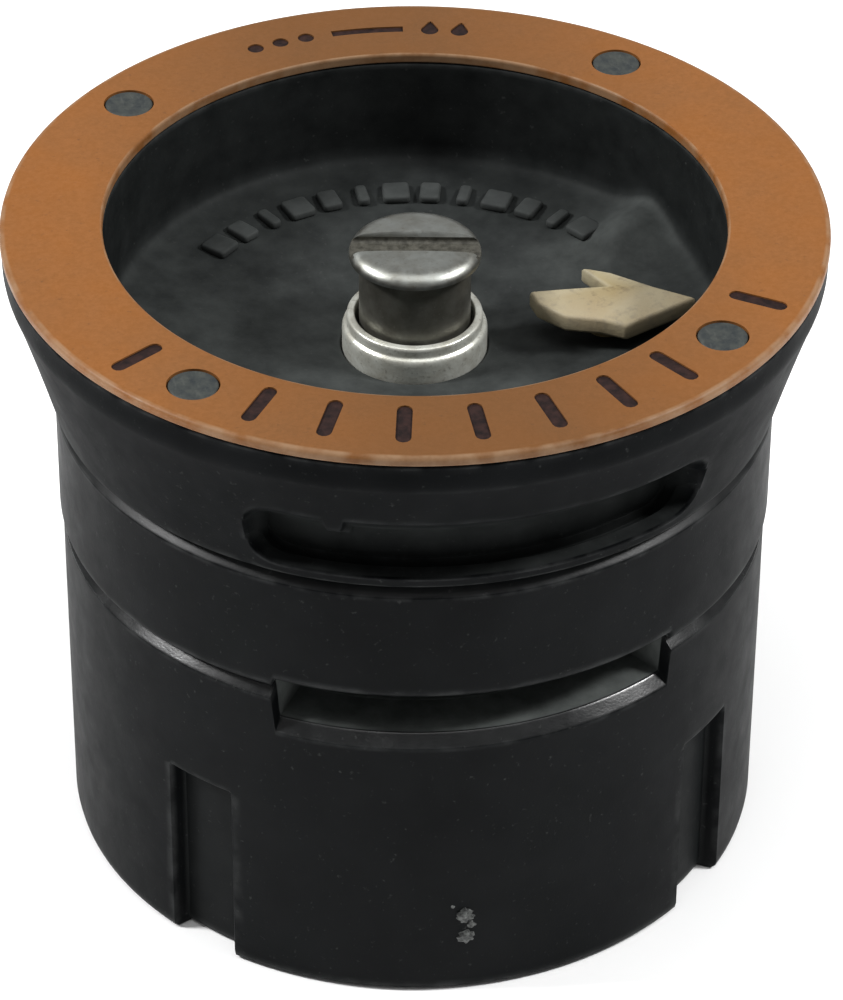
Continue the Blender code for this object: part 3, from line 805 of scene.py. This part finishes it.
def skirt_outline(bearing):
    """Section of the threaded base at a bearing, with its grooves and slot."""
    grip = 0.0
    for middle in GROOVE_BEARINGS:
        grip = max(grip, band(bearing, middle - GROOVE_HALF_WIDTH, middle + GROOVE_HALF_WIDTH, 0.7))
    inner_r = BASE_R - GROOVE_DEPTH * grip
    slot = band(bearing, *SLOT_ARC, 0.8)
    top = LOWER_JOINT - SEAM / 2
    ledge = top + (SLOT_FLOOR - top) * slot
    spigot_r = CHAMBER_R - 2 * HAIR
    spigot_top = SPIGOT_TOP + (ledge + 0.02 * MM - SPIGOT_TOP) * slot
    step = 0.05 * MM
    corners = [
        (THREAD_MAJOR_R + 0.35 * MM, RIM, 0.06 * MM),
        (inner_r, RIM, 0.3 * MM),
        (inner_r, GROOVE_TOP - step, 0.08 * MM),
        (BASE_R, GROOVE_TOP + step, 0.08 * MM),
        (BASE_R, ledge - CHAMFER, 0.04 * MM),
        (BASE_R - CHAMFER, ledge, 0.04 * MM),
        (spigot_r, ledge, 0.05 * MM),
        (spigot_r, spigot_top, 0.1 * MM),
        (spigot_r - 0.8 * MM, spigot_top, 0.1 * MM),
        (spigot_r - 0.8 * MM, WEB_TOP, 0.1 * MM),
        (WEB_BORE_R, WEB_TOP, 0.05 * MM),
        (WEB_BORE_R, SEAT_FACE, 0.05 * MM),
        (SEAT_FACE_R, SEAT_FACE, 0.05 * MM),
        (SEAT_FACE_R, SEAT_FACE + 0.3 * MM, 0.05 * MM),
        (THREAD_MAJOR_R, SEAT_FACE + 0.3 * MM, 0.1 * MM),
    ]
    return rounded(corners + thread_points(bearing) + [(THREAD_MAJOR_R, RIM + 0.35 * MM, 0.05 * MM)])


def make_skirt(surface, burnished):
    """Threaded skirt with grip grooves, slot ledge and riser thread."""
    edges = list(SLOT_ARC)
    for middle in GROOVE_BEARINGS:
        edges += [middle - GROOVE_HALF_WIDTH, middle + GROOVE_HALF_WIDTH]
    skirt = wrap("base_skirt", bearing_columns(edges, soft=0.7), skirt_outline)
    mark_edges(skirt)
    inner_r = BASE_R - CHAMFER - HAIR
    # Painted fill light pales the shaded inside of the slot, and faintly the grip grooves.
    mark_dust_and_painted_light(skirt, (inner_r, SLOT_FLOOR - HAIR, SPIGOT_TOP + MM, 1.0), (inner_r, RIM, GROOVE_TOP, 0.04))
    settle_piece(skirt, "nozzle", "black_plastic", surface, "threaded_base")
    burnish_chamfers(skirt, burnished)


def make_gate_mark(surface):
    """Torn moulding gate low on the front of the skirt: ragged nubs one above the other."""
    bm = bmesh.new()
    nubs = ((-1.2, 2.78, 0.27), (-0.2, 2.42, 0.15), (-1.0, 1.98, 0.25), (-3.0, 3.12, 0.1))
    for bearing, height, size in nubs:
        made = bmesh.ops.create_icosphere(bm, subdivisions=4, radius=size * MM)
        for vert in made["verts"]:
            ragged = noise.noise(vert.co / (0.11 * MM) + Vector((height, bearing, 0)))
            vert.co *= 1 + 0.45 * ragged
            vert.co.y *= 0.5
            vert.co += Vector(on_bearing(BASE_R - 0.04 * MM, bearing, height * MM))
    gate = finish_mesh("gate_mark", bm)
    mark_edges(gate)
    settle_piece(gate, "nozzle", "black_plastic", surface)


def turned_to(points, bearing):
    """Plan points laid out along +X, turned so that +X becomes the bearing."""
    turn = math.radians(bearing - 90)
    c, s = math.cos(turn), math.sin(turn)
    return [(x * c - y * s, x * s + y * c) for x, y in points]


def tick_outline(bearing, reach, width=TICK_WIDTH):
    """Rounded bar along a radius, as (x, y) points."""
    inner, outer = (share * RING_R for share in reach)
    half = width / 2
    flat = []
    for centre, turn in ((outer - half, -90), (inner + half, 90)):
        for i in range(7):
            angle = math.radians(turn + 180 * i / 6)
            flat.append((centre + half * math.cos(angle), half * math.sin(angle)))
    return turned_to(flat, bearing)


def disc_outline(bearing, share, radius, steps=20):
    """Small disc centred at a share of the ring's radius."""
    x, y, _ = on_bearing(share * RING_R, bearing, 0.0)
    angles = [2 * math.pi * i / steps for i in range(steps)]
    return [(x + radius * math.cos(a), y + radius * math.sin(a)) for a in angles]


def drop_outline(bearing, share, radius):
    """Water drop with its point towards the rim."""
    points = []
    for i in range(24):
        angle = 2 * math.pi * i / 24
        reach = radius * (1 + 0.9 * max(0.0, math.cos(angle)) ** 6)
        points.append((share * RING_R + reach * math.cos(angle), radius * math.sin(angle)))
    return turned_to(points, bearing)


def arc_outline(start, end, reach, steps=8):
    """Bar along the ring between two bearings."""
    inner, outer = reach
    bearings = [start + (end - start) * i / steps for i in range(steps + 1)]
    outer_points = [on_bearing(outer * RING_R, b, 0)[:2] for b in bearings]
    inner_points = [on_bearing(inner * RING_R, b, 0)[:2] for b in reversed(bearings)]
    return outer_points + inner_points


def print_outlines():
    """Every stamped mark: arc ticks, limit ticks and a plain pictogram of drops, a bar and dots."""
    outlines = [tick_outline(b, TICK_REACH) for b in TICK_BEARINGS]
    outlines += [tick_outline(b, LIMIT_REACH) for b in LIMIT_BEARINGS]
    outlines += [drop_outline(b, 0.872, 0.26 * MM) for b in (163.0, 168.0)]
    outlines.append(arc_outline(172.5, 184.5, (0.862, 0.888)))
    outlines += [disc_outline(b, 0.875, 0.24 * MM) for b in (189.0, 193.5, 198.0)]
    return outlines


def make_ring(surface, ink):
    """Colour ring with recessed marks, the ink in them, and holes for the pins."""
    def outline(_):
        return rounded([
            (BOWL_R, RING_FOOT, 0.03 * MM),
            (BOWL_R, TOP, 0.09 * MM),
            (BOWL_R + 0.3 * MM, TOP, 0),
            (RING_R - 0.5 * MM, TOP, 0),
            (RING_R, TOP, 0.19 * MM),
            (RING_R, RING_FOOT, 0.08 * MM),
        ])
    ring = wrap("ring_disc", bearing_columns([]), outline)
    tool = bmesh.new()
    for mark in print_outlines():
        prism(tool, mark, TOP - PRINT_DEPTH, TOP + PRINT_DEPTH)
    cut(ring, finish_mesh("mark_tool", tool))
    tool = bmesh.new()
    for pin in PINS:
        low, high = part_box(pin)
        centre = ((low.x + high.x) / 2, (low.y + high.y) / 2)
        hole_r = PIN_HEAD_R + HAIR
        walls = [(0, RING_FOOT - MM), (hole_r, RING_FOOT - MM), (hole_r, TOP + MM), (0, TOP + MM)]
        spin_solid(tool, walls, 40, centre)
    cut(ring, finish_mesh("pin_tool", tool))
    places = vertex_table(ring.data, "co")
    radii = np.hypot(places[:, 0], places[:, 1])
    rims = (radii > RING_R - 0.15 * MM) | (radii < BOWL_R + 0.06 * MM)
    store(ring.data, "edge", rims * 1.0)
    settle_piece(ring, "nozzle", "ring_plastic", surface, "colour_ring")
    bm = bmesh.new()
    for mark in print_outlines():
        prism(bm, mark, TOP - PRINT_DEPTH - HAIR, TOP - PRINT_DEPTH * 0.45)
    marks = finish_mesh("ring_marks", bm)
    settle_piece(marks, "nozzle", "ring_plastic", ink)


def make_pins(surface):
    """Flush pins with a faintly dished head and a centre dimple."""
    for pin in PINS:
        low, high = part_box(pin)
        centre = ((low.x + high.x) / 2, (low.y + high.y) / 2)
        outline = [(0, low.z), (0.4 * MM, low.z), (0.45 * MM, low.z + 0.05 * MM)]
        outline += [(0.45 * MM, RING_FOOT - HAIR), (PIN_HEAD_R, RING_FOOT - HAIR)]
        for i in range(5):
            angle = math.pi / 2 * i / 4
            radius = PIN_HEAD_R - 0.07 * MM * (1 - math.cos(angle))
            outline.append((radius, TOP - 0.09 * MM + 0.07 * MM * math.sin(angle)))
        for share in (0.75, 0.6, 0.45, 0.32, 0.24, 0.16, 0.08):
            dish = 0.03 * MM * (1 - share) + 0.05 * MM * math.exp(-((share / 0.2) ** 2))
            outline.append((PIN_HEAD_R * share, TOP - 0.02 * MM - dish))
        outline.append((0, TOP - 0.10 * MM))
        bm = bmesh.new()
        spin_solid(bm, outline, 48, centre)
        head = finish_mesh(pin.replace("ring_pin", "pin_head"), bm)
        mark_edges(head)
        settle_piece(head, "nozzle", "pin_plastic", surface, pin)


def make_bowl_marks(surface):
    """Plain raised bars of three widths round the back of the bowl floor."""
    bm = bmesh.new()
    start, end = BOWL_MARK_ARC
    for number in range(BOWL_MARK_COUNT):
        bearing = start + (end - start) * number / (BOWL_MARK_COUNT - 1)
        half_width = BOWL_MARK_WIDTHS[number % 3] / 2 - BOWL_MARK_ROUND
        half_length = BOWL_MARK_LENGTH / 2 - BOWL_MARK_ROUND
        foot = floor_height(BOWL_MARK_R, bearing) - 0.05 * MM
        outline = []
        for corner_x, corner_y, turn in ((1, -1, -90), (1, 1, 0), (-1, 1, 90), (-1, -1, 180)):
            for i in range(4):
                angle = math.radians(turn + 30 * i)
                x = corner_x * half_length + BOWL_MARK_ROUND * math.cos(angle)
                y = corner_y * half_width + BOWL_MARK_ROUND * math.sin(angle)
                outline.append((BOWL_MARK_R + x, y))
        prism(bm, turned_to(outline, bearing), foot, foot + 0.25 * MM)
    marks = finish_mesh("bowl_marks", bm)
    soften(marks, 0.07 * MM)
    # Painted highlight: the raised bars are made pale, standing in for the light they catch.
    store(marks.data, "dust_and_painted_light", np.full(len(marks.data.vertices), 0.42))
    settle_piece(marks, "nozzle", "black_plastic", surface)


def soften(target, width, segments=2):
    """Round the edges of a small piece for good."""
    modifier = target.modifiers.new("soften", "BEVEL")
    modifier.width = width
    modifier.segments = segments
    modifier.limit_method = "ANGLE"
    modifier.angle_limit = math.radians(35)
    settle(target)
    mark_edges(target)
    flatten_shading(target)


def make_pointer(surface):
    """Cream arrow in the bowl, pointing outwards, on a slim foot."""
    outline = turned_to([(x * MM, y * MM) for x, y in POINTER_OUTLINE], POINTER_BEARING)
    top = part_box("arc_pointer")[1].z
    bm = bmesh.new()
    prism(bm, outline, top - POINTER_THICKNESS, top)
    pointer = finish_mesh("pointer_arrow", bm)
    soften(pointer, 0.12 * MM, 3)
    settle_piece(pointer, "nozzle", "pointer_plastic", surface, "arc_pointer")
    foot = bmesh.new()
    x, y, _ = on_bearing(POINTER_FOOT_R, POINTER_FOOT_BEARING, 0.0)
    low = floor_height(POINTER_FOOT_R, POINTER_FOOT_BEARING) - 0.1 * MM
    high = top - POINTER_THICKNESS + 0.05 * MM
    walls = [(0, low), (0.6 * MM, low), (0.5 * MM, high), (0, high)]
    spin_solid(foot, walls, 32, (x, y))
    settle_piece(finish_mesh("pointer_foot", foot), "nozzle", "pointer_plastic", surface)


def make_bush(surface):
    """Bright stepped collar and its long bored sleeve."""
    bore = NECK_R + 0.12 * MM
    step = 0.4 * MM

    def outline(_):
        return rounded([
            (BUSH_R, BUSH_FOOT, 0.05 * MM),
            (BUSH_R, BUSH_TOP - step, 0.14 * MM),
            (BUSH_R - 0.13 * MM, BUSH_TOP - step + 0.1 * MM, 0.03 * MM),
            (BUSH_R - 0.13 * MM, BUSH_TOP, 0.1 * MM),
            (bore, BUSH_TOP, 0.05 * MM),
            (bore, BUSH_FOOT + 1.4 * MM, 0.05 * MM),
            (bore - 0.1 * MM, BUSH_FOOT + 1.3 * MM, 0.03 * MM),
            (bore - 0.1 * MM, BUSH_FOOT, 0.05 * MM),
        ])
    bush = wrap("bush_collar", bearing_columns([], step=3.0), outline)
    mark_edges(bush)
    settle_piece(bush, "nozzle", "stainless", surface, "screw_bush")


def screw_outline():
    """Radius screw from its throttle tip up to its domed head."""
    low, high = SCREW_THREAD
    groove_foot, groove_top = SEAL_GROOVE
    count = round((high - low) / SCREW_PITCH * THREAD_ROWS)
    outline = [(0, SCREW_TIP), (0.3 * MM, SCREW_TIP), (0.38 * MM, SCREW_TIP + 0.06 * MM)]
    for i in range(count + 1):
        fade = min(1.0, i / THREAD_ROWS, (count - i) / THREAD_ROWS)
        outline.append((1.27 * MM, low + (high - low) * i / count, 0.24 * MM * fade))
    outline += [
        (NECK_R - 0.05 * MM, high + 0.15 * MM),
        (NECK_R, high + 0.2 * MM),
        (NECK_R, groove_foot - 0.03 * MM),
        (NECK_R - 0.03 * MM, groove_foot),
        (SEAL_GROOVE_R, groove_foot),
        (SEAL_GROOVE_R, groove_top),
        (NECK_R - 0.03 * MM, groove_top),
        (NECK_R, groove_top + 0.03 * MM),
    ]
    for i in range(1, 8):
        outline.append((NECK_R, groove_top + 0.03 * MM + (HEAD_FOOT - groove_top - 0.15 * MM) * i / 7))
    outline += [(NECK_R + 0.03 * MM, HEAD_FOOT - 0.04 * MM), (NECK_R + 0.1 * MM, HEAD_FOOT)]
    outline += [(HEAD_R - 0.08 * MM, HEAD_FOOT), (HEAD_R - 0.02 * MM, HEAD_FOOT + 0.03 * MM)]
    round_r = 0.48 * MM
    round_z = 0.38 * MM
    shoulder = HEAD_TOP - HEAD_CROWN - round_z
    for i in range(11):
        angle = math.pi / 2 * i / 10
        radius = HEAD_R - round_r + round_r * math.cos(angle)
        outline.append((radius, shoulder + round_z * math.sin(angle)))
    for share in (0.9, 0.75, 0.6, 0.45, 0.3, 0.15):
        outline.append(((HEAD_R - round_r) * share, HEAD_TOP - HEAD_CROWN * share ** 2))
    outline.append((0, HEAD_TOP))
    return outline


def make_drive_tool():
    """Cutter for the screw's slot: flat floor, rounded foot and softly flared lips."""
    tool = bmesh.new()
    floor = HEAD_TOP - DRIVE_DEPTH
    foot = 0.1 * MM
    section = []
    for side in (-1, 1):
        curve = []
        for i in range(5):
            angle = math.pi / 2 * i / 4
            y = side * (DRIVE_HALF - foot + foot * math.sin(angle))
            curve.append((y, floor + foot - foot * math.cos(angle)))
        curve += [(side * DRIVE_HALF, HEAD_TOP - 0.14 * MM), (side * (DRIVE_HALF + 0.1 * MM), HEAD_TOP)]
        curve.append((side * (DRIVE_HALF + 0.4 * MM), HEAD_TOP + 0.3 * MM))
        section += curve if side > 0 else curve[::-1]
    ends = [[tool.verts.new((x, y, z)) for y, z in section] for x in (-2 * HEAD_R, 2 * HEAD_R)]
    tool.faces.new(ends[0])
    tool.faces.new(ends[1])
    for i in range(len(section)):
        j = (i + 1) % len(section)
        tool.faces.new((ends[0][i], ends[0][j], ends[1][j], ends[1][i]))
    bmesh.ops.rotate(tool, verts=tool.verts, matrix=Matrix.Rotation(DRIVE_TURN, 3, "Z"))
    return finish_mesh("drive_tool", tool)


def make_screw(surface, darkening, neck):
    """Slotted screw: a bright head with a dark lining in its slot, and a dull neck, seal groove and thread
    whose darker steel is painted shade.
    """
    bm = bmesh.new()
    spin_solid(bm, screw_outline(), 96, pitch=SCREW_PITCH)
    screw = finish_mesh("radius_screw", bm)
    cut(screw, make_drive_tool())
    mark_edges(screw)
    settle_piece(screw, "screw", "stainless", surface, "adjusting_screw")
    screw.data.materials.append(darkening)
    screw.data.materials.append(neck)
    across = Vector((-math.sin(DRIVE_TURN), math.cos(DRIVE_TURN), 0.0))
    slot_foot = HEAD_TOP - DRIVE_DEPTH
    for face in screw.data.polygons:
        height = face.center.z
        beside = abs(face.center.dot(across)) < DRIVE_HALF + 0.1 * MM
        wall = abs(face.normal.dot(across)) > 0.5 or height < slot_foot + 0.12 * MM
        # Below the head: the darker steel copy, painted shade.
        if height < HEAD_FOOT + HAIR:
            face.material_index = 2
        elif beside and wall and slot_foot - HAIR < height < HEAD_TOP - HEAD_CROWN - 2 * HAIR:
            face.material_index = 1


def dress_cad_nodes(seat, seal):
    """Finishes for the CAD nodes that stay in view."""
    for node, surface in (("throttle_seat", seat), ("screw_seal", seal)):
        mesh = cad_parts[node].data
        mesh.materials.clear()
        mesh.materials.append(surface)


# ---------------------------------------------------------------- stage

def make_floor(surface):
    """Broad pale floor."""
    bm = bmesh.new()
    bmesh.ops.create_grid(bm, x_segments=2, y_segments=2, size=3.0)
    floor = finish_mesh("studio_floor", bm)
    floor.data.materials.append(surface)


def add_light(name, bearing, elevation, distance, size, power):
    """Square soft light aimed at the nozzle."""
    data = bpy.data.lights.new(name, "AREA")
    data.size = size
    data.energy = power
    lamp = bpy.data.objects.new(name, data)
    bpy.context.scene.collection.objects.link(lamp)
    flat = math.cos(math.radians(elevation)) * distance
    aim = Vector((0, 0, TOP / 2))
    lamp.location = Vector(on_bearing(flat, bearing, math.sin(math.radians(elevation)) * distance)) + aim
    lamp.rotation_euler = (aim - lamp.location).to_track_quat("-Z", "Y").to_euler()


def light_stage():
    """Soft boxes left and right, a broad top light, a faint card behind and a pale world."""
    add_light("left_box", -99, 42, 0.30, 0.05, 0.95)
    add_light("right_box", 75, 45, 0.30, 0.05, 0.8)
    add_light("top_box", 0, 80, 0.45, 0.35, 0.72)
    add_light("back_card", 172, 33, 0.50, 0.40, 0.14)
    world = bpy.data.worlds.new("studio")
    bpy.context.scene.world = world
    world.use_nodes = True
    world.node_tree.nodes["Background"].inputs["Color"].default_value = (1.0, 1.0, 1.0, 1.0)
    world.node_tree.nodes["Background"].inputs["Strength"].default_value = 0.235


def place_camera():
    """Camera above and slightly left of the spray arc, tilted a touch."""
    azimuth = math.radians(-9.75)
    elevation = math.radians(32.9)
    distance = 11.5 * RING_R
    roll = 0.0067
    across = Vector((math.cos(azimuth), math.sin(azimuth), 0.0))
    top_centre = Vector((0, 0, TOP))
    flat = distance * math.cos(elevation)
    rise = distance * math.sin(elevation)
    spot = top_centre + Vector((math.sin(azimuth) * flat, -math.cos(azimuth) * flat, rise))
    aim = top_centre + (0.0195 * across - Vector((0, 0, 0.8511))) * RING_R
    forward = (aim - spot).normalized()
    right = forward.cross(Vector((0, 0, 1))).normalized()
    up = right.cross(forward)
    right, up = right * math.cos(roll) + up * math.sin(roll), up * math.cos(roll) - right * math.sin(roll)
    data = bpy.data.cameras.new("camera")
    data.lens = 171.6
    data.clip_start = 0.01
    data.clip_end = 10.0
    camera = bpy.data.objects.new("camera", data)
    bpy.context.scene.collection.objects.link(camera)
    camera.matrix_world = Matrix((
        (right.x, up.x, -forward.x, spot.x),
        (right.y, up.y, -forward.y, spot.y),
        (right.z, up.z, -forward.z, spot.z),
        (0, 0, 0, 1),
    ))
    bpy.context.scene.camera = camera


def main():
    """Build the pieces, the stage and the camera."""
    bpy.context.scene.view_settings.view_transform = "Standard"
    place_camera()
    light_stage()
    make_floor(floor_paper())
    black = black_plastic("black_plastic", 0.05, 0.45)
    cap_black = black_plastic("cap_plastic", 0.03, 0.52)
    make_skirt(black, black_plastic("skirt_chamfer", 0.5, 0.23))
    make_gate_mark(torn_plastic())
    make_body(black, black_plastic("body_chamfer", 0.23, 0.36))
    make_cap(cap_black)
    make_bowl_marks(cap_black)
    make_ring(ring_plastic(), ring_print())
    make_pins(pin_plastic())
    make_pointer(pointer_plastic())
    make_bush(bush_steel())
    make_screw(stainless(), dark_slot_lining(), shaded_neck_steel())
    dress_cad_nodes(seat_plastic(), seal_rubber())


main()
